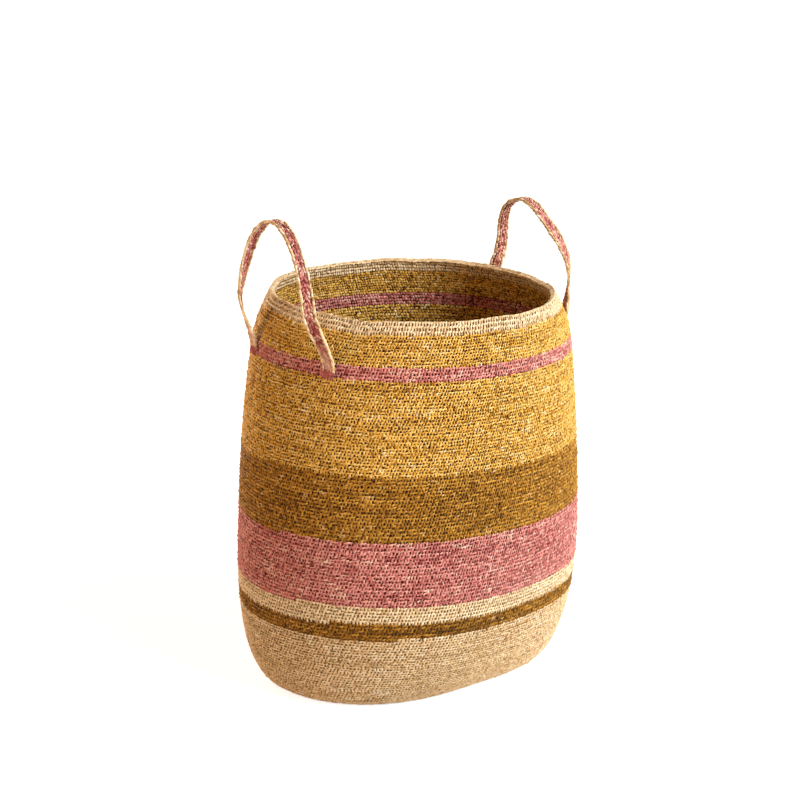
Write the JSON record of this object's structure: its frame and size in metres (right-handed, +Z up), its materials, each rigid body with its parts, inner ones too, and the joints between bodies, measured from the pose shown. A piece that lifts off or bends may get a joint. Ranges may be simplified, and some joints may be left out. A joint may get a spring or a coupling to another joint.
{
  "type": "crocheted husk basket",
  "caption": "Barrel-shaped storage basket crocheted in rounds from dyed corn husk yarn, with an oval base, colour bands, a rolled-in round rim and fold-down strap handles.",
  "frame": {"origin": "middle of the flat underside, on the floor", "axes": "+Z up out of the mouth, +X along the long axis of the oval base towards the right handle, -Y to the front"},
  "size_m": [0.3756, 0.317, 0.491],
  "materials": {
    "natural_husk": "undyed corn husk yarn, crocheted",
    "cream_husk": "bleached corn husk yarn, crocheted",
    "olive_husk": "olive brown dyed corn husk yarn, crocheted",
    "rose_husk": "rose dyed corn husk yarn with paler flecks, crocheted",
    "mustard_husk": "mustard dyed corn husk yarn with paler flecks, crocheted"
  },
  "bodies": {
    "basket": {"oval_base": "natural_husk", "natural_wall": "natural_husk", "brown_line": "olive_husk", "cream_line": "cream_husk", "rose_band": "rose_husk", "olive_band": "olive_husk", "mustard_band": "mustard_husk", "rose_line": "rose_husk", "mustard_collar": "mustard_husk", "cream_rim": "cream_husk", "left_handle_front_stitches": "rose_husk", "left_handle_rear_stitches": "rose_husk", "right_handle_front_stitches": "rose_husk", "right_handle_rear_stitches": "rose_husk"},
    "left_handle": {"left_handle_rose_rows": "rose_husk", "left_handle_inner_edging": "cream_husk", "left_handle_outer_edging": "cream_husk"},
    "right_handle": {"right_handle_rose_rows": "rose_husk", "right_handle_inner_edging": "cream_husk", "right_handle_outer_edging": "cream_husk"}
  },
  "joints": [
    {"name": "left_handle_fold", "type": "hinge", "parent": "basket", "child": "left_handle", "pos_m": [-0.162, 0, 0.351], "axis": [0, -1, 0], "range_deg": [-28, 110]},
    {"name": "right_handle_fold", "type": "hinge", "parent": "basket", "child": "right_handle", "pos_m": [0.162, 0, 0.351], "axis": [0, 1, 0], "range_deg": [-24, 110]}
  ]
}
